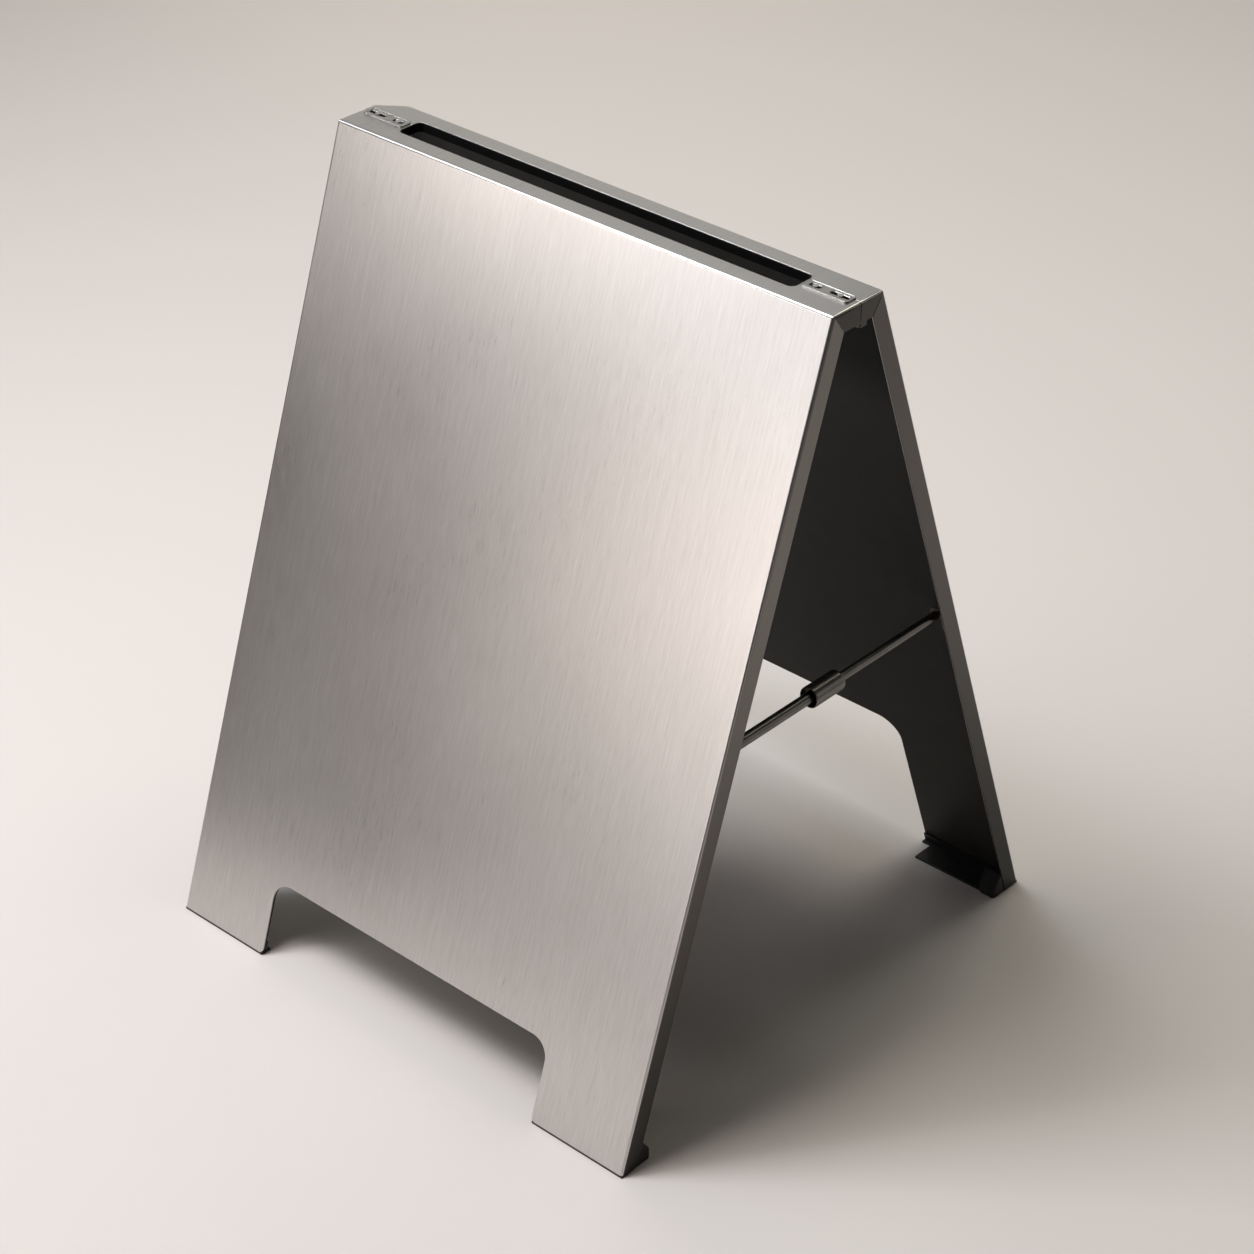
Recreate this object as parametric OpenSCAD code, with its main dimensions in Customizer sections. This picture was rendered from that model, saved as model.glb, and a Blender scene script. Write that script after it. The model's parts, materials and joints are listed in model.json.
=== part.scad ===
// A-frame sidewalk sign: two folded steel panels that hinge along a seam in the top,
// with a hand slot, dark inner liners, a foot under each leg and a sliding stay at each side.
// X runs across the sign, Y from front to rear, Z up. The origin is on the floor, under the middle.

/* [Panels] */
// Width of each panel
panel_w = 600; // [480:1:760]
// Length of each face along its slope
panel_l = 820; // [700:1:1000]
// Lean of each face from upright, with the sign open
lean = 19; // [16:0.5:22]
// Thickness of the folded steel sheet
sheet_t = 1.5; // [1.2:0.1:2]
// Depth of the folded returns at the sides and at the ends of the top
return_d = 20; // [18:0.5:26]
// Outside radius of the folds
fold_r = 3; // [2.4:0.1:4]
// Thickness of the inner liner
liner_t = 3; // [2:0.1:4]

/* [Legs and feet] */
// Width of each leg
leg_w = 115; // [95:1:140]
// Height of the front notch along the face
front_notch_h = 81; // [60:1:140]
// Corner radius of the front notch
front_notch_r = 20; // [8:1:30]
// Height of the rear notch along the face
rear_notch_h = 185; // [60:1:230]
// Corner radius of the rear notch
rear_notch_r = 25; // [8:1:30]
// Thickness of the foot plates
foot_t = 2.5; // [2:0.1:4]
// Reach of the foot plates from the outer face
foot_d = 38; // [34:0.5:38.5]
// Width of the moulded foot caps
cap_w = 20; // [16:0.5:24]
// Height of the foot caps at the panel
cap_h = 25; // [18:0.5:32]

/* [Top] */
// Depth of the top from its front edge to its rear edge
top_d = 67; // [62:1:80]
// Shift of the seam from the middle towards the rear
seam_shift = 3; // [0:0.5:4]
// Width of the top beyond each end of the hand slot
slot_end_w = 60.5; // [54:0.5:80]
// Width of the hand slot
slot_w = 30; // [26:1:34]
// Corner radius of the hand slot
slot_r = 7; // [4:0.5:10]

/* [Hinge] */
// Radius of the hinge pins
pin_r = 2.5; // [2:0.1:3]
// Outside radius of the hinge knuckles
knuckle_r = 4.5; // [4.2:0.1:5.5]
// Thickness of the hinge leaves
leaf_t = 1.8; // [1.5:0.1:2.2]
// Width of the cover plates
cover_w = 15; // [14:0.5:18]

/* [Stays] */
// Height of the stays above the floor
stay_z = 390; // [330:1:450]
// Radius of the stay tube
tube_r = 5.5; // [5:0.1:6.5]
// Wall of the stay tube
tube_wall = 0.9; // [0.7:0.1:1.2]
// Radius of the locking collar
collar_r = 10.5; // [9:0.1:11]
// Length of the locking collar
collar_l = 42; // [30:1:55]

/* [Hidden] */

// Which half of the sign a piece belongs to, and which side
front = -1;
rear = 1;
left = -1;
right = 1;

// Overrun of every cut past the solid that it cuts
over = 1;
$fn = 64;

// Finishes
steel = [0.66, 0.64, 0.62];
dark_steel = [0.30, 0.29, 0.28];
black = [0.10, 0.10, 0.10];

// Panel sizes that follow from the driving ones
half_w = panel_w / 2;
slot_l = panel_w - 2 * slot_end_w;
half_top = top_d / 2;
half_base = half_top + panel_l * sin(lean);
top_z = foot_t + panel_l * cos(lean);
fold_turn = 90 - lean;
mitre_turn = (90 + lean) / 2;
mitre_slit = 0.4;
inner_w = half_w - sheet_t;

// Seam and hinge axis
seam_gap = 0.8;
axis_z = top_z - return_d;
knuckle_gap = 0.4;
tab_w = 8;
hem_h = 6;
trim_t = 1.2;
trim_h = 9;
trim_set = 0.5;

// Hinge layout along X
hinge_clear = 1;
hinge_start = slot_l / 2 + sheet_t + hinge_clear;
hinge_end = inner_w - hinge_clear / 2;
knuckle_count = 5;
knuckle_pitch = (hinge_end - hinge_start) / knuckle_count;
pin_clear = 0.05;
wing_w = 9;
rivet_r = 1.6;
rivet_head_r = 3;
rivet_head_h = 1.5;
rivet_clear = 0.05;
rivet_share = 0.25;

// Cover plate and its screws
cover_lap = 4;
cover_t = 1.1;
cover_rim = 1.2;
cover_rim_h = 0.5;
cover_step = 0.5;
cover_lift = 0.3;
cover_corner_r = 3;
cover_end_gap = 5.5;
cover_end = hinge_end - cover_end_gap;
cover_l = cover_end - hinge_start + hinge_clear / 2;
cover_slot_w = 6.6;
cover_screw_r = 1.5;
cover_head_r = 2.8;
cover_head_h = 0.9;
cover_slot_at_shares = [0.75, 0.22];
cover_slot_l_shares = [0.42, 0.26];

// Legs, liner and feet
leg_corner_r = 5;
notch_w = panel_w - 2 * leg_w;
liner_edge = fold_r - sheet_t;
liner_set = 0.8;
foot_strip = 12;
foot_up_h = 9;
foot_edge = 0.5;
foot_inset = 1;
front_pad_inset = 40;
rear_pad_inset = 12;
cap_tip_h = 9.5;
cap_over = 2;
cap_seat = 0.2;
cap_corner_r = 4;
cap_plug_w = 14;
cap_plug_share = 0.8;

// Stay, from the pivot on the front panel to the keeper on the rear one
collar_gap = 1;
stay_inset = sheet_t + collar_r + collar_gap;
stay_x = half_w - stay_inset;
pivot_depth = 14;
stay_start = -half_base + slope_at(stay_z) + pivot_depth / cos(lean);
stay_face = half_base - slope_at(stay_z);
stud_r = 3;
stud_base_r = 5.5;
stud_clear = 0.05;
eye_r = 7;
eye_w = 8;
eye_neck = 12;
eye_neck_r = 3.6;
eye_shoulder = 2;
eye_plug = 10;
eye_gap = 0.3;
clip_t = 1.2;
clip_r = 5.5;
groove_d = 0.5;
rod_clear = 0.1;
collar_end = 7;
collar_wall = 5;
collar_lip = 1.3;
collar_mouth_r = collar_r - collar_lip;
collar_mouth_d = 8;
collar_edge = 1;
collar_round = 4;
rod_r = tube_r - tube_wall - rod_clear;
rod_in = 25;
rod_chamfer = 1;
neck_r = 2.5;
head_r = 4.8;
head_t = 2.5;
keeper_t = 2;
keeper_depth = 11;
keeper_play = 0.8;
keeper_slot_r = neck_r + keeper_play;
keeper_r = 8;
keeper_drop = 9;
keeper_foot = 10;
keeper_clear = 0.55;

// How far the sloping face has come inwards at height z
function slope_at(z) = (z - foot_t) * tan(lean);

// A point of the side view at depth d from the outer face, at height z
function side_point(d, z) = [-half_base + slope_at(z) + d / cos(lean), z];

// Seam position seen from its own half
function seam_of(half) = -half * seam_shift;

// Outer side of the seam wall, seen from its own half
function edge_of(half) = seam_of(half) - seam_gap / 2;

// Puts a piece that is drawn for the front half on its own half
module on_half(half) {
    mirror([0, half == rear ? 1 : 0, 0]) children();
}

// Puts a piece that is drawn for the right side on its own side
module on_side(side) {
    mirror([side == left ? 1 : 0, 0, 0]) children();
}

// Frame of the sloping face: Y is the depth inwards and Z runs up the face
module on_slope() {
    translate([0, -half_base, foot_t]) rotate([-lean, 0, 0]) children();
}

// Extrudes a side view, drawn in Y and Z, from x0 over a length
module across(x0, l) {
    translate([x0, 0, 0]) rotate([90, 0, 90]) linear_extrude(l) children();
}

// Extrudes a face view, drawn in X and along the slope, from depth d0 over a thickness
module into_face(d0, t) {
    translate([0, d0 + t, 0]) rotate([90, 0, 0]) linear_extrude(t) children();
}

// Extrudes a plan, drawn in X and Y, from z0 over a height
module upwards(z0, h) {
    translate([0, 0, z0]) linear_extrude(h) children();
}

module rounded_rect(w, h, r) {
    square([w - 2 * r, h], center = true);
    square([w, h - 2 * r], center = true);
    for (sx = [-1, 1], sy = [-1, 1]) {
        translate([sx * (w / 2 - r), sy * (h / 2 - r)]) circle(r);
    }
}

module obround(l, w) {
    square([l - w, w], center = true);
    for (sx = [-1, 1]) translate([sx * (l - w) / 2, 0]) circle(w / 2);
}

// What a rounded corner removes from a square one, with the solid at positive X and Y
module corner_waste(r) {
    difference() {
        translate([-over, -over]) square(r + over);
        translate([r, r]) circle(r);
    }
}

// A block seen along its folds: endless downwards, with two rounded corners, set in by a depth
module block_outline(set_in) {
    r = fold_r - set_in;
    half = half_w - set_in;
    translate([0, set_in]) difference() {
        translate([-half, 0]) square([2 * half, panel_l]);
        for (sx = [-1, 1]) translate([sx * half, 0]) scale([-sx, 1]) corner_waste(r);
    }
}

// Side view of the waste outside the rounded fold between face and top, set in by a depth
module top_fold_waste(set_in) {
    r = fold_r - set_in;
    run = r * tan(fold_turn / 2);
    translate([-half_top + set_in * tan(fold_turn / 2), top_z - set_in]) difference() {
        polygon([
            [run, over], [run, -r], [-run * sin(lean), -run * cos(lean)],
            [-run * sin(lean) - over * cos(lean), -run * cos(lean) + over * sin(lean)], [-over, over]
        ]);
        translate([run, -r]) circle(r);
    }
}

// The wedge inside the face and the top, mitred where their folded sides meet
module wedge(set_in) {
    difference() {
        intersection() {
            on_slope() translate([0, 0, -panel_l]) linear_extrude(3 * panel_l) block_outline(set_in);
            translate([0, -panel_l, top_z]) rotate([-90, 0, 0]) linear_extrude(2 * panel_l) block_outline(set_in);
        }
        across(-panel_w, 2 * panel_w) top_fold_waste(set_in);
    }
}

// Side view of the band that the folded sides take, under the top and behind the face
module side_band(half) {
    polygon([
        side_point(-over, -over), side_point(-over, top_z + over), [edge_of(half), top_z + over],
        [edge_of(half), top_z - return_d], side_point(return_d, top_z - return_d), side_point(return_d, -over)
    ]);
}

module notch_outline(h, r, grow) {
    w = notch_w + 2 * grow;
    translate([-w / 2, -over]) square([w, h + grow - r + over]);
    translate([-w / 2 + r, -over]) square([w - 2 * r, h + grow + over]);
    for (sx = [-1, 1]) {
        translate([sx * (w / 2 - r), h + grow - r]) circle(r);
        translate([sx * w / 2, 0]) scale([sx, 1]) corner_waste(leg_corner_r);
    }
}

module slot_outline(grow) {
    rounded_rect(slot_l + 2 * grow, slot_w + 2 * grow, slot_r + grow);
}

// Plan of everything on this side of the seam
module own_plan(half) {
    translate([-panel_w, edge_of(half) - top_d]) square([2 * panel_w, top_d]);
}

module seam_wall(half) {
    low = axis_z + knuckle_r + knuckle_gap;
    for (side = [left, right]) on_side(side)
        translate([slot_l / 2 + sheet_t / 2, edge_of(half) - sheet_t, low])
            cube([half_w - slot_l / 2 - sheet_t, sheet_t, top_z - low - sheet_t / 2]);
}

module slot_rim(half) {
    upwards(top_z - hem_h, hem_h - sheet_t / 2) intersection() {
        difference() {
            slot_outline(sheet_t);
            slot_outline(0);
        }
        own_plan(half);
    }
}

// Places that a leaf's rivets take, drawn on the seam wall of the right side
module at_rivets(half) {
    mid_z = (axis_z + knuckle_r + top_z - sheet_t - leaf_t) / 2;
    for (share = [rivet_share, 1 - rivet_share])
        translate([hinge_start + share * (hinge_end - hinge_start), edge_of(half), mid_z])
            rotate([90, 0, 0]) children();
}

// Places of the two screws in a cover plate, in the plan of the right side
module at_cover_slots() {
    for (i = [0, 1])
        translate([cover_end - cover_l * (1 - cover_slot_at_shares[i]), seam_of(front) + cover_lap - cover_w / 2])
            let ($slot_l = cover_slot_l_shares[i] * cover_l) children();
}

module folded_sheet(half, notch_h, notch_r) {
    difference() {
        union() {
            intersection() {
                difference() {
                    wedge(0);
                    wedge(sheet_t);
                }
                across(-panel_w, 2 * panel_w) side_band(half);
            }
            seam_wall(half);
            slot_rim(half);
        }
        translate([-panel_w, -2 * half_base, foot_t - return_d]) cube([2 * panel_w, 2 * half_base, return_d]);
        upwards(top_z - return_d, return_d + over) slot_outline(0);
        on_slope() into_face(-over, return_d + 2 * over) notch_outline(notch_h, notch_r, 0);
        for (side = [left, right]) on_side(side) {
            across(inner_w, sheet_t + over) translate([-half_top, top_z]) rotate(-mitre_turn)
                translate([2 * fold_r, -mitre_slit / 2]) square([2 * return_d, mitre_slit]);
            at_rivets(half) translate([0, 0, -over]) cylinder(h = sheet_t + 2 * over, r = rivet_r + rivet_clear);
            if (half == front) at_cover_slots() screw_hole();
        }
    }
}

module screw_hole() {
    translate([0, 0, top_z - sheet_t - leaf_t]) cylinder(h = sheet_t + leaf_t + over, r = cover_screw_r + rivet_clear);
}

module front_panel() {
    color(steel) on_half(front) folded_sheet(front, front_notch_h, front_notch_r);
}

module rear_panel() {
    color(steel) on_half(rear) {
        folded_sheet(rear, rear_notch_h, rear_notch_r);
        for (side = [left, right]) on_side(side)
            translate([inner_w, edge_of(rear) - tab_w, axis_z - knuckle_r]) cube([sheet_t, tab_w, knuckle_r + sheet_t]);
    }
}

module liner(half, notch_h, notch_r) {
    color(black) on_half(half) difference() {
        on_slope() into_face(sheet_t, liner_t) difference() {
            translate([-inner_w + liner_edge, 0]) square([2 * (inner_w - liner_edge), panel_l - 2 * sheet_t]);
            notch_outline(notch_h, notch_r, liner_set);
        }
        translate([-panel_w, -2 * half_base, foot_t - return_d]) cube([2 * panel_w, 2 * half_base, return_d]);
    }
}

module slot_trim(half) {
    color(black) on_half(half) upwards(top_z - trim_h, trim_h - trim_set) intersection() {
        difference() {
            slot_outline(0);
            slot_outline(-trim_t);
        }
        own_plan(half);
    }
}

// A rolled knuckle and the strip that joins it to its leaf
module knuckle(half, index) {
    x0 = hinge_start + index * knuckle_pitch;
    translate([x0, seam_of(half), axis_z]) rotate([0, 90, 0])
        cylinder(h = knuckle_pitch - knuckle_gap, r = knuckle_r);
    translate([x0, edge_of(half) - sheet_t - leaf_t, axis_z])
        cube([knuckle_pitch - knuckle_gap, leaf_t, knuckle_r + 2 * knuckle_gap]);
}

module hinge_leaf(half, side) {
    edge = edge_of(half) - sheet_t;
    low = axis_z + knuckle_r + knuckle_gap;
    l = hinge_end - hinge_start - knuckle_gap;
    first = half == front ? 0 : 1;
    color(dark_steel) on_half(half) on_side(side) difference() {
        union() {
            translate([hinge_start, edge - leaf_t, low]) cube([l, leaf_t, top_z - sheet_t - low]);
            translate([hinge_start, edge - wing_w, top_z - sheet_t - leaf_t]) cube([l, wing_w, leaf_t]);
            for (index = [first : 2 : knuckle_count - 1]) knuckle(half, index);
        }
        translate([hinge_start - over, seam_of(half), axis_z]) rotate([0, 90, 0])
            cylinder(h = hinge_end - hinge_start + 2 * over, r = pin_r + pin_clear);
        at_rivets(half) translate([0, 0, sheet_t - over])
            cylinder(h = leaf_t + 2 * over, r = rivet_r + rivet_clear);
        if (half == front) at_cover_slots() screw_hole();
    }
}

module hinge_pin(side) {
    color(dark_steel) on_side(side) translate([hinge_start, seam_of(front), axis_z]) rotate([0, 90, 0])
        cylinder(h = hinge_end - hinge_start, r = pin_r);
}

module leaf_rivets(half) {
    color(dark_steel) on_half(half) for (side = [left, right]) on_side(side) at_rivets(half) {
        cylinder(h = sheet_t + leaf_t, r = rivet_r);
        translate([0, 0, sheet_t + leaf_t]) intersection() {
            cylinder(h = rivet_head_h, r = rivet_head_r);
            translate([0, 0, rivet_head_h - rivet_head_r]) sphere(rivet_head_r);
        }
    }
}

module cover_outline(grow) {
    translate([cover_end - cover_l / 2, seam_of(front) + cover_lap - cover_w / 2])
        rounded_rect(cover_l + 2 * grow, cover_w + 2 * grow, cover_corner_r + grow);
}

module hinge_cover(side) {
    color(steel) on_side(side) difference() {
        union() {
            upwards(top_z, cover_t) cover_outline(0);
            upwards(top_z, cover_t + cover_rim_h) difference() {
                cover_outline(0);
                cover_outline(-cover_rim);
            }
        }
        translate([cover_end - cover_l - over, edge_of(front), top_z - over])
            cube([cover_l + 2 * over, cover_w, over + cover_lift]);
        for (low = [true, false])
            upwards(low ? top_z - over : top_z + cover_step, cover_t + 2 * over) at_cover_slots()
                obround($slot_l, low ? 2 * (cover_screw_r + rivet_clear) : cover_slot_w);
    }
}

module cover_screw() {
    seat = top_z + cover_step;
    translate([0, 0, top_z - sheet_t - leaf_t]) cylinder(h = seat - top_z + sheet_t + leaf_t, r = cover_screw_r);
    translate([0, 0, seat]) cylinder(h = cover_head_h, r = cover_head_r);
}

module cover_screws(side) {
    color(dark_steel) on_side(side) at_cover_slots() cover_screw();
}

// A bent foot plate: a strip under the leg, a pad that reaches inwards and an upstand on the liner
module foot_plate(half, side) {
    pad_inset = half == front ? front_pad_inset : rear_pad_inset;
    strip_x = half_w - leg_w + foot_inset;
    outer_x = half_w - foot_edge;
    cap_x = outer_x - cap_w;
    behind = sheet_t + liner_t;
    cap_y = side_point(return_d, foot_t)[0];
    color(black) on_half(half) on_side(side) {
        translate([strip_x, -half_base, 0]) cube([outer_x - strip_x, foot_strip, foot_t]);
        translate([half_w - leg_w + pad_inset, -half_base, 0])
            cube([cap_x - half_w + leg_w - pad_inset, foot_d, foot_t]);
        translate([cap_x, -half_base, 0]) cube([cap_w, cap_y + half_base, foot_t]);
        across(strip_x, inner_w - liner_edge - strip_x) polygon([
            side_point(behind, 0), side_point(behind + foot_t, 0),
            side_point(behind + foot_t, foot_t + foot_up_h), side_point(behind, foot_t + foot_up_h)
        ]);
    }
}

// A moulded cap: a wedge inside the panel's edge and a plug that fills the corner of the tray
module foot_cap(half, side) {
    outer_x = half_w - foot_edge;
    tip_y = -half_base + foot_d + cap_over;
    plug_d = sheet_t + liner_t + foot_t + cap_seat;
    plug_h = cap_h * cap_plug_share;
    plug_x = inner_w - liner_edge;
    foot_y = side_point(return_d + cap_seat, foot_t)[0];
    color(black) on_half(half) on_side(side) {
        intersection() {
            across(outer_x - cap_w, cap_w) polygon([
                [foot_y, 0], [tip_y, 0], [tip_y, cap_tip_h],
                side_point(return_d + cap_seat, cap_h), [foot_y, foot_t]
            ]);
            upwards(-over, cap_h + 2 * over) difference() {
                translate([outer_x - cap_w, foot_y - cap_w]) square([cap_w, tip_y - foot_y + cap_w]);
                translate([outer_x, tip_y]) rotate(180) corner_waste(cap_corner_r);
                translate([outer_x - cap_w, tip_y]) rotate(-90) corner_waste(cap_corner_r);
            }
        }
        across(plug_x - cap_plug_w, cap_plug_w) polygon([
            side_point(plug_d, foot_t), side_point(return_d + 2 * cap_seat, foot_t),
            side_point(return_d + 2 * cap_seat, plug_h), side_point(plug_d, plug_h)
        ]);
    }
}

// Frame of a stay: Z runs along it towards the rear, from the pivot
module on_stay(side) {
    on_side(side) translate([stay_x, stay_start, stay_z]) rotate([-90, 0, 0]) children();
}

// Frame of the pivot: Z runs from the middle of the eye towards the side of the sign
module on_pivot(side) {
    on_side(side) translate([stay_x, stay_start, stay_z]) rotate([0, 90, 0]) children();
}

module stay_stud(side) {
    shoulder = eye_w / 2 + eye_gap;
    inner = shoulder + 2 * clip_t;
    color(dark_steel) on_pivot(side) difference() {
        union() {
            translate([0, 0, shoulder]) cylinder(h = stay_inset - sheet_t - shoulder, r = stud_base_r);
            translate([0, 0, -inner]) cylinder(h = inner + shoulder, r = stud_r);
        }
        translate([0, 0, -shoulder - clip_t]) difference() {
            cylinder(h = clip_t, r = stud_r + over);
            cylinder(h = clip_t, r = stud_r - groove_d);
        }
    }
}

module stay_clip(side) {
    shoulder = eye_w / 2 + eye_gap;
    color(steel) on_pivot(side) translate([0, 0, -shoulder - clip_t]) difference() {
        cylinder(h = clip_t, r = clip_r);
        translate([0, 0, -over]) cylinder(h = clip_t + 2 * over, r = stud_r - groove_d);
    }
}

module stay_eye(side) {
    color(dark_steel) difference() {
        union() {
            on_pivot(side) translate([0, 0, -eye_w / 2]) cylinder(h = eye_w, r = eye_r);
            on_stay(side) {
                cylinder(h = eye_neck, r = eye_neck_r);
                translate([0, 0, eye_neck - eye_shoulder]) cylinder(h = eye_shoulder, r = tube_r);
                translate([0, 0, eye_neck]) cylinder(h = eye_plug, r = tube_r - tube_wall);
            }
        }
        on_pivot(side) translate([0, 0, -eye_w / 2 - over]) cylinder(h = eye_w + 2 * over, r = stud_r + stud_clear);
    }
}

// Where the collar ends on the stay, counted from the pivot
function collar_stop() = collar_end - stay_start;

module stay_tube(side) {
    l = collar_stop() - collar_wall - 2 * rod_clear - eye_neck;
    color(dark_steel) on_stay(side) translate([0, 0, eye_neck]) difference() {
        cylinder(h = l, r = tube_r);
        translate([0, 0, -over]) cylinder(h = l + 2 * over, r = tube_r - tube_wall);
    }
}

module stay_collar(side) {
    stop = collar_stop();
    start = stop - collar_l;
    color(dark_steel) on_stay(side) difference() {
        rotate_extrude() difference() {
            union() {
                translate([0, start]) square([collar_r - collar_edge, collar_l - collar_round]);
                translate([0, start + collar_edge]) square([collar_r, collar_l - collar_edge - collar_round]);
                translate([0, start]) square([collar_r - collar_round, collar_l]);
                translate([collar_r - collar_round, stop - collar_round]) circle(collar_round);
                translate([collar_r - collar_edge, start + collar_edge]) circle(collar_edge);
            }
            translate([-collar_r, start - over]) square([collar_r, collar_l + 2 * over]);
        }
        translate([0, 0, start - over]) cylinder(h = collar_mouth_d + over, r = collar_mouth_r);
        translate([0, 0, start]) cylinder(h = collar_l - collar_wall, r = tube_r + rod_clear);
        translate([0, 0, start]) cylinder(h = collar_l + over, r = rod_r + rod_clear);
    }
}

module stay_rod(side) {
    face = stay_face - stay_start;
    plate_in = keeper_depth / cos(lean);
    plate_out = (keeper_depth + keeper_t) / cos(lean);
    shoulder = face - plate_out - rod_r * tan(lean) - keeper_clear;
    head = face - plate_in + head_r * tan(lean) + keeper_clear;
    start = collar_stop() - collar_wall - rod_in;
    tip = head + head_t;
    color(dark_steel) on_stay(side) rotate_extrude() polygon([
        [0, start], [rod_r - rod_chamfer, start], [rod_r, start + rod_chamfer], [rod_r, shoulder - rod_chamfer],
        [rod_r - rod_chamfer, shoulder], [neck_r, shoulder], [neck_r, head], [head_r, head],
        [head_r, tip - rod_chamfer], [head_r - rod_chamfer, tip], [0, tip]
    ]);
}

// A bracket on the rear side return, whose slot is open downwards for the neck of the rod
module stay_keeper(side) {
    up = (stay_z - foot_t + (keeper_depth + keeper_t / 2) * sin(lean)) / cos(lean);
    color(dark_steel) on_half(rear) on_side(side) on_slope() {
        into_face(keeper_depth, keeper_t) difference() {
            union() {
                translate([stay_x, up]) circle(keeper_r);
                translate([stay_x - keeper_r, up - keeper_drop]) square([2 * keeper_r, keeper_drop]);
                translate([stay_x, up - keeper_drop]) square([inner_w - stay_x, keeper_drop + keeper_r]);
            }
            translate([stay_x, up]) circle(keeper_slot_r);
            translate([stay_x - keeper_slot_r, up - keeper_drop - over])
                square([2 * keeper_slot_r, keeper_drop + over]);
        }
        translate([inner_w - keeper_t, sheet_t + liner_t + keeper_clear, up - keeper_foot])
            cube([keeper_t, return_d - sheet_t - liner_t - 2 * keeper_clear, 2 * keeper_foot]);
    }
}

front_panel();
rear_panel();
liner(front, front_notch_h, front_notch_r);  // front_liner
liner(rear, rear_notch_h, rear_notch_r);  // rear_liner
slot_trim(front);  // front_slot_trim
slot_trim(rear);  // rear_slot_trim
hinge_leaf(front, left);  // front_hinge_leaf_left
hinge_leaf(front, right);  // front_hinge_leaf_right
hinge_leaf(rear, left);  // rear_hinge_leaf_left
hinge_leaf(rear, right);  // rear_hinge_leaf_right
hinge_pin(left);  // hinge_pin_left
hinge_pin(right);  // hinge_pin_right
leaf_rivets(front);  // front_leaf_rivets
leaf_rivets(rear);  // rear_leaf_rivets
hinge_cover(left);  // hinge_cover_left
hinge_cover(right);  // hinge_cover_right
cover_screws(left);  // cover_screws_left
cover_screws(right);  // cover_screws_right
foot_plate(front, left);  // foot_plate_front_left
foot_plate(front, right);  // foot_plate_front_right
foot_plate(rear, left);  // foot_plate_rear_left
foot_plate(rear, right);  // foot_plate_rear_right
foot_cap(front, left);  // foot_cap_front_left
foot_cap(front, right);  // foot_cap_front_right
foot_cap(rear, left);  // foot_cap_rear_left
foot_cap(rear, right);  // foot_cap_rear_right
stay_stud(left);  // stay_stud_left
stay_stud(right);  // stay_stud_right
stay_clip(left);  // stay_clip_left
stay_clip(right);  // stay_clip_right
stay_eye(left);  // stay_eye_left
stay_eye(right);  // stay_eye_right
stay_tube(left);  // stay_tube_left
stay_tube(right);  // stay_tube_right
stay_collar(left);  // stay_collar_left
stay_collar(right);  // stay_collar_right
stay_rod(left);  // stay_rod_left
stay_rod(right);  // stay_rod_right
stay_keeper(left);  // stay_keeper_left
stay_keeper(right);  // stay_keeper_right
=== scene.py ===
import json
import math

import bpy
from mathutils import Matrix


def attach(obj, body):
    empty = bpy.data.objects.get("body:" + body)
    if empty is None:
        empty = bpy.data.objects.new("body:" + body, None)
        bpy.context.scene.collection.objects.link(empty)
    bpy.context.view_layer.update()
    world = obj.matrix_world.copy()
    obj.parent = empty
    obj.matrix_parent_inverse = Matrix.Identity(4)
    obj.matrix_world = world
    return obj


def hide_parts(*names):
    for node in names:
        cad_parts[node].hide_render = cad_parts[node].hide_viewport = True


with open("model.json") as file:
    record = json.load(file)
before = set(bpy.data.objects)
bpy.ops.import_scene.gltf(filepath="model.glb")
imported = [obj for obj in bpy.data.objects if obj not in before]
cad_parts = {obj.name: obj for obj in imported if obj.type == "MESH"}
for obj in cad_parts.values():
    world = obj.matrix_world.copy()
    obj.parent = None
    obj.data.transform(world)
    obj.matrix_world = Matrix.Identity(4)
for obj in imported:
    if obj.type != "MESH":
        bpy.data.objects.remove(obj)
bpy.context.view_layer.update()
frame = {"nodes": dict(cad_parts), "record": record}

nodes = frame["nodes"]
print("scene: frame loaded")

mm = 0.001


# A socket that can be written in sums: each operator adds its Math node
class Wire:
    def __init__(self, paint, socket):
        self.paint = paint
        self.socket = socket

    def math(self, operation, first, second=None):
        sockets = {0: first} if second is None else {0: first, 1: second}
        return self.paint.add("ShaderNodeMath", {"operation": operation}, sockets)

    def __add__(self, other):
        return self.math("ADD", self, other)

    def __sub__(self, other):
        return self.math("SUBTRACT", self, other)

    def __rsub__(self, other):
        return self.math("SUBTRACT", other, self)

    def __mul__(self, other):
        return self.math("MULTIPLY", self, other)

    def __truediv__(self, other):
        return self.math("DIVIDE", self, other)

    def __rtruediv__(self, other):
        return self.math("DIVIDE", other, self)

    def __gt__(self, other):
        return self.math("GREATER_THAN", self, other)

    def __lt__(self, other):
        return self.math("LESS_THAN", self, other)

    def __abs__(self):
        return self.math("ABSOLUTE", self)

    __radd__ = __add__
    __rmul__ = __mul__


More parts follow.
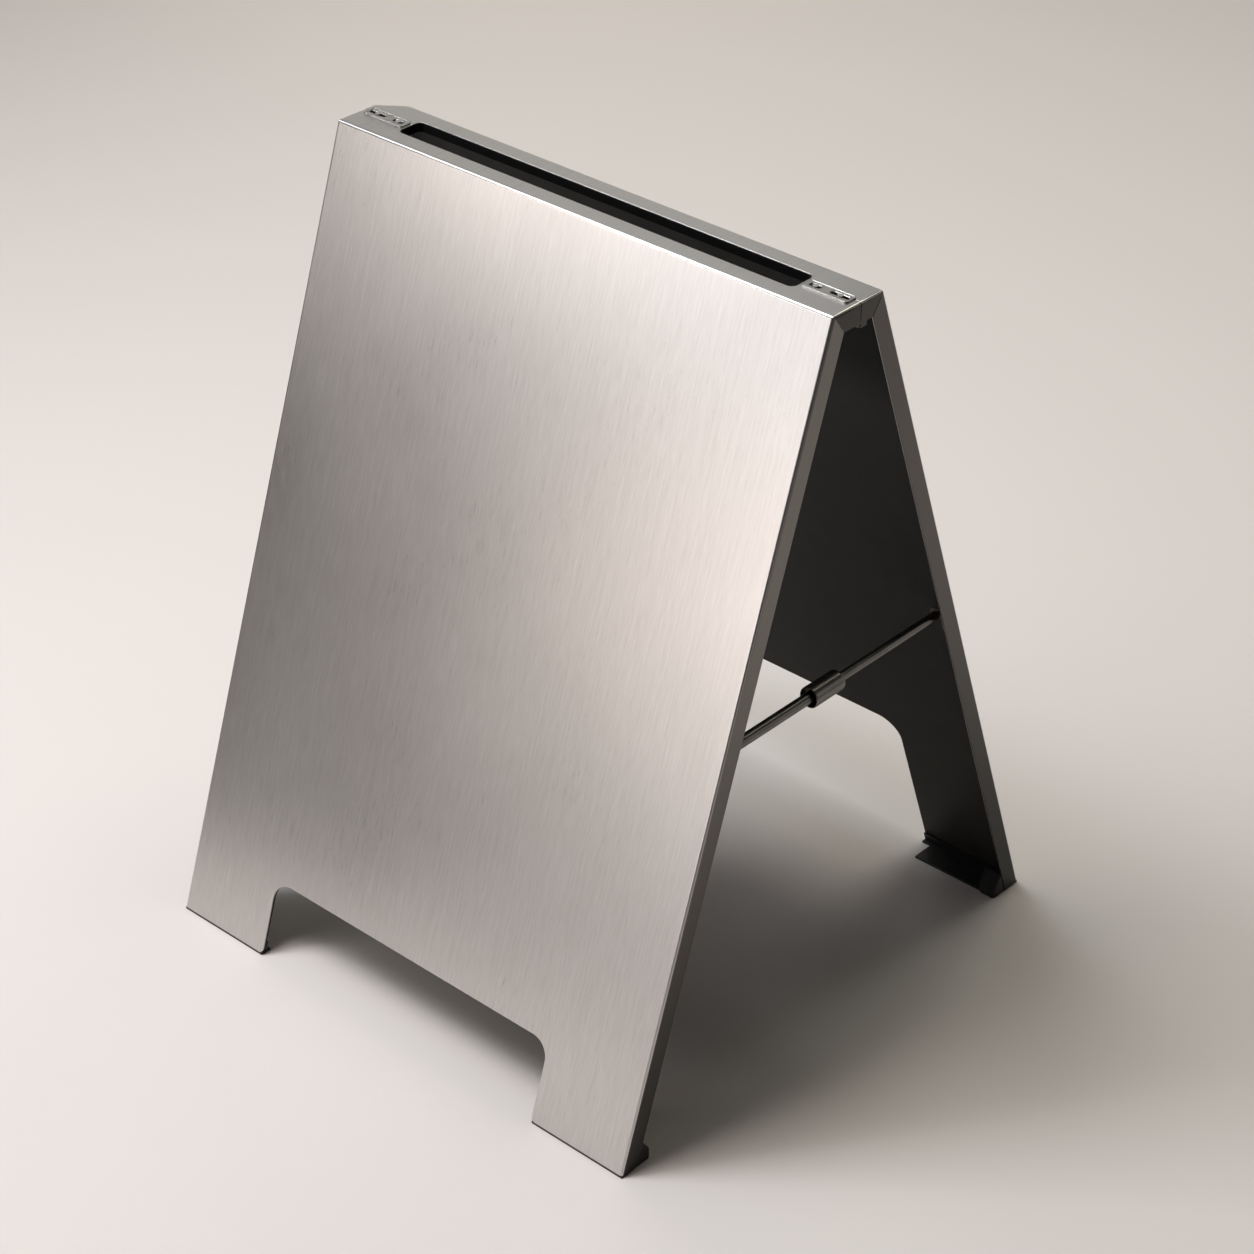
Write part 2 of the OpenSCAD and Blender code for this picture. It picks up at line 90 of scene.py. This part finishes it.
# A material and the one method that adds its nodes
class Paint:
    def __init__(self, name, constants):
        self.material = bpy.data.materials.new(name)
        self.material.use_nodes = True
        self.tree = self.material.node_tree
        self.tree.nodes.clear()
        self.shader = self.tree.nodes.new("ShaderNodeBsdfPrincipled")
        output = self.tree.nodes.new("ShaderNodeOutputMaterial")
        self.tree.links.new(self.shader.outputs[0], output.inputs[0])
        for socket, value in constants.items():
            self.set(socket, value)

    def feed(self, socket, value):
        if isinstance(value, Wire):
            self.tree.links.new(value.socket, socket)
        else:
            socket.default_value = value

    def set(self, socket, value):
        self.feed(self.shader.inputs[socket], value)

    def add(self, kind, settings, sockets, output=0):
        node = self.tree.nodes.new(kind)
        for key, value in settings.items():
            setattr(node, key, value)
        for key, value in sockets.items():
            self.feed(node.inputs[key], value)
        return Wire(self, node.outputs[output])

    # Object coordinates, turned about X so that Z runs along a leaning face
    def place(self, lean=0):
        raw = self.add("ShaderNodeTexCoord", {}, {}, 3)
        return self.add("ShaderNodeMapping", {}, {"Vector": raw, "Rotation": (lean, 0, 0)})

    def axes(self, vector):
        return [self.add("ShaderNodeSeparateXYZ", {}, {0: vector}, index) for index in range(3)]

    def join(self, x, y, z):
        return self.add("ShaderNodeCombineXYZ", {}, {0: x, 1: y, 2: z})

    def noise(self, vector, scale, detail, roughness=0.5, distortion=0):
        sockets = {
            "Vector": vector,
            "Scale": scale,
            "Detail": detail,
            "Roughness": roughness,
            "Distortion": distortion,
        }
        return self.add("ShaderNodeTexNoise", {}, sockets)

    # Runs smoothly from 0 to 1 as the value goes from low to high
    def ease(self, value, low, high):
        settings = {"interpolation_type": "SMOOTHSTEP", "clamp": True}
        return self.add("ShaderNodeMapRange", settings, {"Value": value, "From Min": low, "From Max": high})

    # Sockets 6 and 7 and output 2 are the colour ones of a Mix node
    def blend(self, share, first, second):
        sockets = {"Factor": share, 6: first, 7: second}
        return self.add("ShaderNodeMix", {"data_type": "RGBA"}, sockets, 2)

    def bump(self, height, strength, distance):
        sockets = {"Height": height, "Strength": strength, "Distance": distance}
        self.set("Normal", self.add("ShaderNodeBump", {}, sockets))


def colour(red, green, blue):
    return (red, green, blue, 1)


def clearSelection():
    for piece in bpy.context.selected_objects:
        piece.select_set(False)


def dress(piece, material):
    slots = piece.data.materials
    slots.clear()
    slots.append(material)


# The open sign, as far as the finishes need it
sign = {
    "lean": math.radians(19),
    "halfWidth": 300 * mm,
    "sideSkin": 0.375 * mm,
    "topHeight": 777.8 * mm,
    "facePlane": 284.91 * mm,
}

# Where a noise is even
noiseMean = 0.5

# Brushed stainless sheet: strokes run up each face, over the fold and back along the top
brushed = {
    "base": colour(0.60, 0.578, 0.562),
    "dark": colour(0.50, 0.478, 0.462),
    "roughness": 0.30,
    "fine": {"width": 0.55 * mm, "length": 26 * mm, "detail": 3, "roughness": 0.6, "distortion": 0.35},
    "broad": {"width": 2.4 * mm, "length": 90 * mm, "detail": 2, "roughness": 0.5, "distortion": 0.2},
    "cloud": {"size": 160 * mm, "detail": 2},
    "toneShares": (0.7, 0.3),
    "toneRange": (0.32, 0.68),
    "fineSpread": 0.12,
    "cloudSpread": 0.06,
    "bumpShares": (0.8, 0.2),
    "bumpStrength": 0.35,
    "bumpHeight": 0.02 * mm,
}

# Painted shade on the folded sides: their tones at the floor, from the height of the fade up, and on the
# gussets darken the sides towards the floor, the rear's more than the front's, standing in for the shade
# they reflect
paintedSideShade = {
    "fade": 550 * mm,
    "front": {
        "low": colour(0.062, 0.058, 0.0545),
        "high": colour(0.217, 0.204, 0.193),
        "gusset": colour(0.075, 0.0705, 0.067),
    },
    "rear": {
        "low": colour(0.033, 0.031, 0.0293),
        "high": colour(0.125, 0.117, 0.111),
        "gusset": colour(0.085, 0.0795, 0.0755),
    },
}


def strokes(paint, across, along, brush):
    stretched = paint.join(across / brush["width"], 0, along / brush["length"])
    return paint.noise(stretched, 1, brush["detail"], brush["roughness"], brush["distortion"])


def mixed(shares, first, second):
    return first * shares[0] + second * shares[1]


def brushedSheetWithSideShade(name, lean, sideShadeTones):
    paint = Paint(name, {"Metallic": 1})
    vector = paint.place(lean)
    x, y, z = paint.axes(vector)
    side = abs(x) > sign["halfWidth"] - sign["sideSkin"]
    across = x + side * (y - x)
    fine = strokes(paint, across, z, brushed["fine"])
    broad = strokes(paint, across, z, brushed["broad"])
    cloud = paint.noise(vector, 1 / brushed["cloud"]["size"], brushed["cloud"]["detail"])
    tone = paint.ease(mixed(brushed["toneShares"], fine, broad), *brushed["toneRange"])
    sheet = paint.blend(tone, brushed["dark"], brushed["base"])
    height = z * math.cos(lean) - y * math.sin(lean)
    gusset = (sign["topHeight"] - height) < (sign["facePlane"] - abs(y))
    # Painted shade: the sides fade darker towards the floor and the gussets take a darker tone, in place of
    # shade reflected in them
    sideShadeColour = paint.blend(paint.ease(height, 0, paintedSideShade["fade"]), sideShadeTones["low"], sideShadeTones["high"])
    sideShadeColour = paint.blend(gusset, sideShadeColour, sideShadeTones["gusset"])
    paint.set("Base Color", paint.blend(side, sheet, sideShadeColour))
    fineSpread = (fine - noiseMean) * brushed["fineSpread"]
    cloudSpread = (cloud - noiseMean) * brushed["cloudSpread"]
    paint.set("Roughness", brushed["roughness"] + fineSpread + cloudSpread)
    relief = mixed(brushed["bumpShares"], fine, broad)
    paint.bump(relief, brushed["bumpStrength"], brushed["bumpHeight"])
    return paint.material


record = frame["record"]
bodyOf = {node: body for body, members in record["behaviour"]["bodies"].items() for node in members}

# How every copy is merged, eased and smoothed
finishing = {
    "weld": 0.002 * mm,
    "flatten": math.radians(0.3),
    "easeFrom": math.radians(40),
    "easeSegments": 2,
    "smoothTo": math.radians(35),
    "faceWeight": 100,
}


# A merged copy of a CAD node, with its edges eased and its folds smooth, which stands for the node
def easedCopy(node, material, width, cutters=()):
    clearSelection()
    piece = bpy.data.objects.new(node + "Eased", nodes[node].data.copy())
    bpy.context.scene.collection.objects.link(piece)
    piece.select_set(True)
    bpy.context.view_layer.objects.active = piece
    bpy.ops.object.mode_set(mode="EDIT")
    bpy.ops.mesh.select_all(action="SELECT")
    bpy.ops.mesh.remove_doubles(threshold=finishing["weld"])
    bpy.ops.mesh.dissolve_limited(angle_limit=finishing["flatten"])
    bpy.ops.object.mode_set(mode="OBJECT")
    for cutter in cutters:
        cut = piece.modifiers.new("cut", "BOOLEAN")
        cut.object = cutter
        cut.solver = "EXACT"
        bpy.ops.object.modifier_apply(modifier=cut.name)
        bpy.data.objects.remove(cutter)
    edge = piece.modifiers.new("edge", "BEVEL")
    edge.width = width
    edge.segments = finishing["easeSegments"]
    edge.limit_method = "ANGLE"
    edge.angle_limit = finishing["easeFrom"]
    edge.use_clamp_overlap = False
    bpy.ops.object.modifier_apply(modifier=edge.name)
    bpy.ops.object.shade_smooth_by_angle(angle=finishing["smoothTo"])
    flat = piece.modifiers.new("flat", "WEIGHTED_NORMAL")
    flat.weight = finishing["faceWeight"]
    flat.keep_sharp = True
    bpy.ops.object.modifier_apply(modifier=flat.name)
    dress(piece, material)
    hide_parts(node)
    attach(piece, bodyOf[node])


# The rear panel's left corner is cut across: a block turned to the plane of the cut takes it off
corner = {
    "middle": (-290 * mm, 28.87 * mm, 769.47 * mm),
    "normal": (-0.4253, 0.5671, 0.7054),
    "blockSize": 80 * mm,
    "linerSetIn": 2.5 * mm,
}


def cornerCutter(setIn=0):
    clearSelection()
    across, along, up = corner["normal"]
    shift = corner["blockSize"] / 2 - setIn
    middle = [place + part * shift for place, part in zip(corner["middle"], corner["normal"])]
    turn = (0, math.acos(up), math.atan2(along, across))
    bpy.ops.mesh.primitive_cube_add(size=corner["blockSize"], location=middle, rotation=turn)
    return bpy.context.object


panelEdge = 0.3 * mm
frontSheet = brushedSheetWithSideShade("frontSheetWithSideShade", sign["lean"], paintedSideShade["front"])
rearSheet = brushedSheetWithSideShade("rearSheetWithSideShade", -sign["lean"], paintedSideShade["rear"])
dress(nodes["front_panel"], frontSheet)
dress(nodes["rear_panel"], rearSheet)
easedCopy("front_panel", frontSheet, panelEdge)
easedCopy("rear_panel", rearSheet, panelEdge, [cornerCutter()])
print("scene: panels finished")


# Small pieces: a grained skin, where fine and cloud are two sizes of noise
grainedSkin = {
    "fineDetail": 4,
    "fineRoughness": 0.6,
    "cloudPart": 0.05,
    "cloudDetail": 2,
    "toneShares": (0.6, 0.4),
    "toneRange": (0.35, 0.65),
    "bumpStrength": 0.3,
    "spread": 0.12,
    "shine": 0.3,
}
skins = {
    "linerBoardShadedTop": {
        "base": colour(0.042, 0.0405, 0.0385),
        "light": colour(0.054, 0.052, 0.0495),
        "roughness": 0.42,
        "metallic": 0,
        "grain": 1.2 * mm,
        "relief": 0.04 * mm,
        "shine": 0.1,
        # Painted shade: the board fades to near black towards its top, under the top flange and in the slot
        "paintedShadeUnderTop": {"range": (620 * mm, 700 * mm), "tone": colour(0.001, 0.001, 0.001)},
    },
    # Black plastic, made darker than plastic is: partly painted shade in the slot
    "slotTrimPlasticAndShade": {
        "base": colour(0.002, 0.002, 0.002),
        "light": colour(0.0035, 0.0035, 0.0035),
        "roughness": 0.5,
        "metallic": 0,
        "grain": 0.8 * mm,
        "relief": 0.04 * mm,
        "shine": 0.12,
    },
    "hingeSteel": {
        "base": colour(0.10, 0.096, 0.09),
        "light": colour(0.16, 0.152, 0.145),
        "roughness": 0.4,
        "metallic": 0.9,
        "grain": 0.6 * mm,
        "relief": 0.02 * mm,
    },
    "brightZinc": {
        "base": colour(0.55, 0.54, 0.53),
        "light": colour(0.66, 0.65, 0.63),
        "roughness": 0.26,
        "metallic": 1,
        "grain": 0.7 * mm,
        "relief": 0.01 * mm,
    },
    "footPowderCoat": {
        "base": colour(0.018, 0.0175, 0.0165),
        "light": colour(0.03, 0.029, 0.028),
        "roughness": 0.45,
        "metallic": 0,
        "grain": 0.5 * mm,
        "relief": 0.06 * mm,
    },
    "footRubber": {
        "base": colour(0.014, 0.0137, 0.013),
        "light": colour(0.022, 0.0215, 0.021),
        "roughness": 0.55,
        "metallic": 0,
        "grain": 0.35 * mm,
        "relief": 0.05 * mm,
    },
    "stayNickel": {
        "base": colour(0.17, 0.16, 0.148),
        "light": colour(0.22, 0.207, 0.193),
        "roughness": 0.3,
        "metallic": 1,
        "grain": 0.9 * mm,
        "relief": 0.006 * mm,
        "spread": 0.06,
    },
    "coverSteel": {
        "base": colour(0.40, 0.385, 0.37),
        "light": colour(0.47, 0.455, 0.44),
        "roughness": 0.3,
        "metallic": 1,
        "grain": 0.5 * mm,
        "relief": 0.01 * mm,
    },
}


def grained(name, own):
    skin = {**grainedSkin, **own}
    paint = Paint(name, {"Metallic": skin["metallic"], "Specular IOR Level": skin["shine"]})
    vector = paint.place()
    fine = paint.noise(vector, 1 / skin["grain"], skin["fineDetail"], skin["fineRoughness"])
    cloud = paint.noise(vector, skin["cloudPart"] / skin["grain"], skin["cloudDetail"])
    tone = paint.ease(mixed(skin["toneShares"], fine, cloud), *skin["toneRange"])
    surface = paint.blend(tone, skin["base"], skin["light"])
    # Painted shade near the top, for a skin that has it
    if "paintedShadeUnderTop" in skin:
        height = paint.axes(vector)[2]
        topShade = paint.ease(height, *skin["paintedShadeUnderTop"]["range"])
        surface = paint.blend(topShade, surface, skin["paintedShadeUnderTop"]["tone"])
    paint.set("Base Color", surface)
    unevenness = (fine - noiseMean) * skin["spread"] + (cloud - noiseMean) * skin["spread"]
    paint.set("Roughness", skin["roughness"] + unevenness)
    paint.bump(fine, skin["bumpStrength"], skin["relief"])
    return paint.material


# Which skin each kind of small piece has, and how far the edges of its copy are eased, if it has one
kinds = {
    "liner": {"skin": "linerBoardShadedTop", "edge": 0.4 * mm},
    "slot_trim": {"skin": "slotTrimPlasticAndShade"},
    "leaf_rivets": {"skin": "hingeSteel"},
    "hinge_leaf": {"skin": "hingeSteel"},
    "hinge_pin": {"skin": "brightZinc"},
    "hinge_cover": {"skin": "coverSteel", "edge": 0.2 * mm},
    "cover_screws": {"skin": "brightZinc"},
    "foot_plate": {"skin": "footPowderCoat", "edge": 0.35 * mm},
    "foot_cap": {"skin": "footRubber", "edge": 0.9 * mm},
    "stay_clip": {"skin": "brightZinc"},
    "stay_eye": {"skin": "stayNickel", "edge": 0.3 * mm},
    "stay_tube": {"skin": "stayNickel", "edge": 0.15 * mm},
    "stay_collar": {"skin": "stayNickel", "edge": 0.25 * mm},
    "stay_rod": {"skin": "stayNickel", "edge": 0.2 * mm},
    "stay_keeper": {"skin": "stayNickel", "edge": 0.3 * mm},
    "stay_stud": {"skin": "stayNickel", "edge": 0.2 * mm},
}
materials = {name: grained(name, own) for name, own in skins.items()}
for kind, choice in kinds.items():
    material = materials[choice["skin"]]
    for node in sorted(nodes):
        if kind in node:
            dress(nodes[node], material)
            if "edge" in choice:
                cutters = [cornerCutter(corner["linerSetIn"])] if node == "rear_liner" else []
                easedCopy(node, material, choice["edge"], cutters)
print("scene: small pieces finished")

# The studio: a pale floor, which turns darker outside the picture's left edge, and an even surround
studio = {
    "floorSize": 30,
    "floorColour": colour(0.71, 0.657, 0.63),
    "floorRoughness": 0.7,
    "floorShine": 0.2,
    "mottle": 0.985,
    "mottleScale": 3,
    "mottleDetail": 2,
    "floorShade": colour(0.15, 0.143, 0.138),
    "shadeLine": (-0.04, -0.743),
    "shadeAway": (-0.62, -0.785),
    "shadeFrom": 0.0,
    "shadeTo": 0.55,
    "surround": colour(1, 0.9, 0.85),
    "surroundStrength": 0.012,
}


def makeFloor():
    clearSelection()
    bpy.ops.mesh.primitive_plane_add(size=studio["floorSize"])
    floor = bpy.context.object
    floor.name = "studioFloor"
    constants = {"Roughness": studio["floorRoughness"], "Specular IOR Level": studio["floorShine"]}
    paint = Paint("floorPaper", constants)
    vector = paint.place()
    x, y, z = paint.axes(vector)
    low = colour(*[studio["mottle"] * part for part in studio["floorColour"][:3]])
    mottle = paint.noise(vector, studio["mottleScale"], studio["mottleDetail"])
    pale = paint.blend(mottle, low, studio["floorColour"])
    # Painted shade: the floor's colour darkens beyond this line, and the steel faces reflect it
    startX, startY = studio["shadeLine"]
    awayX, awayY = studio["shadeAway"]
    away = (x - startX) * awayX + (y - startY) * awayY
    shade = paint.ease(away, studio["shadeFrom"], studio["shadeTo"])
    paint.set("Base Color", paint.blend(shade, pale, studio["floorShade"]))
    floor.data.materials.append(paint.material)


def makeSurround():
    world = bpy.data.worlds.new("surround")
    bpy.context.scene.world = world
    world.use_nodes = True
    background = world.node_tree.nodes["Background"]
    background.inputs["Color"].default_value = studio["surround"]
    background.inputs["Strength"].default_value = studio["surroundStrength"]


# Soft lamps around the sign: each has its turn and rise in degrees, side in metres, watts and tint
lampRig = {"aim": (0, 0, 0.35), "reach": 3.2}
lamps = {
    "backLow": {"turn": 135, "rise": 12, "size": 1.3, "power": 7.0, "tint": (1, 0.908, 0.756)},
    "back": {"turn": 135, "rise": 40, "size": 1.3, "power": 3.1, "tint": (0.95, 0.98, 1)},
    "backHigh": {"turn": 135, "rise": 64, "size": 1.6, "power": 2.0, "tint": (1, 0.85, 0.95)},
    "leftHigh": {"turn": 180, "rise": 64, "size": 1.6, "power": 5.8, "tint": (0.9, 1, 0.98)},
    "keyHigh": {"turn": 195, "rise": 70, "size": 1.0, "power": 18.8, "tint": (0.88, 0.989, 1)},
    "key": {"turn": 220, "rise": 52, "size": 1.0, "power": 56.0, "tint": (0.891, 0.933, 1)},
    "leftLow": {"turn": 232, "rise": 17, "size": 0.65, "power": 7.4, "tint": (1, 0.929, 0.888)},
    "frontMid": {"turn": 243, "rise": 17, "size": 0.65, "power": 2.4, "tint": (0.7, 0.85, 1)},
    "frontHorizon": {"turn": 243, "rise": 4, "size": 0.65, "power": 3.25, "tint": (1, 0.892, 0.831)},
    "keyFront": {"turn": 245, "rise": 52, "size": 1.0, "power": 8.2, "tint": (1, 0.976, 0.75)},
    "overhead": {"turn": 245, "rise": 70, "size": 1.0, "power": 34.5, "tint": (1, 0.939, 0.942)},
    "rightHorizon": {"turn": 254, "rise": 3, "size": 0.95, "power": 7.6, "tint": (1, 0.96, 0.943)},
    "rear": {"turn": 90, "rise": 40, "size": 1.3, "power": 8.1, "tint": (1, 0.969, 0.981)},
    "rearHigh": {"turn": 90, "rise": 64, "size": 1.6, "power": 18.3, "tint": (1, 1, 0.787)},
    "rearCardRight": {"turn": 42, "rise": 14, "size": 1.6, "power": 4.0, "tint": (1, 0.97, 0.94)},
    "rearCard": {"turn": 74, "rise": 14, "size": 1.6, "power": 4.0, "tint": (1, 0.97, 0.94)},
    "rearCardLeft": {"turn": 106, "rise": 14, "size": 1.6, "power": 3.0, "tint": (1, 0.97, 0.94)},
}


def makeLamp(name, lamp):
    data = bpy.data.lights.new(name, "AREA")
    data.shape = "SQUARE"
    data.size = lamp["size"]
    data.energy = lamp["power"]
    data.color = lamp["tint"]
    light = bpy.data.objects.new(name, data)
    bpy.context.scene.collection.objects.link(light)
    turn = Matrix.Rotation(math.radians(lamp["turn"] + 90), 4, "Z")
    tilt = Matrix.Rotation(math.radians(90 - lamp["rise"]), 4, "X")
    away = Matrix.Translation((0, 0, lampRig["reach"]))
    light.matrix_world = Matrix.Translation(lampRig["aim"]) @ turn @ tilt @ away


makeFloor()
makeSurround()
for lampName, lampValues in lamps.items():
    makeLamp(lampName, lampValues)
print("scene: studio lit")

# The photograph's camera
view = {
    "place": (1.8083, -1.9385, 2.0356),
    "azimuth": 42.466,
    "elevation": 32.832,
    "roll": -0.234,
    "lens": 93.72,
    "sensor": 36,
    "near": 0.05,
    "far": 60,
}


def makeCamera():
    data = bpy.data.cameras.new("photoCamera")
    data.lens = view["lens"]
    data.sensor_width = view["sensor"]
    data.clip_start = view["near"]
    data.clip_end = view["far"]
    camera = bpy.data.objects.new("photoCamera", data)
    bpy.context.scene.collection.objects.link(camera)
    turn = Matrix.Rotation(math.radians(view["azimuth"]), 4, "Z")
    tilt = Matrix.Rotation(math.radians(90 - view["elevation"]), 4, "X")
    roll = Matrix.Rotation(math.radians(view["roll"]), 4, "Z")
    camera.matrix_world = Matrix.Translation(view["place"]) @ turn @ tilt @ roll
    bpy.context.scene.camera = camera


makeCamera()
bpy.context.scene.view_settings.view_transform = "Standard"
print("scene: camera placed")
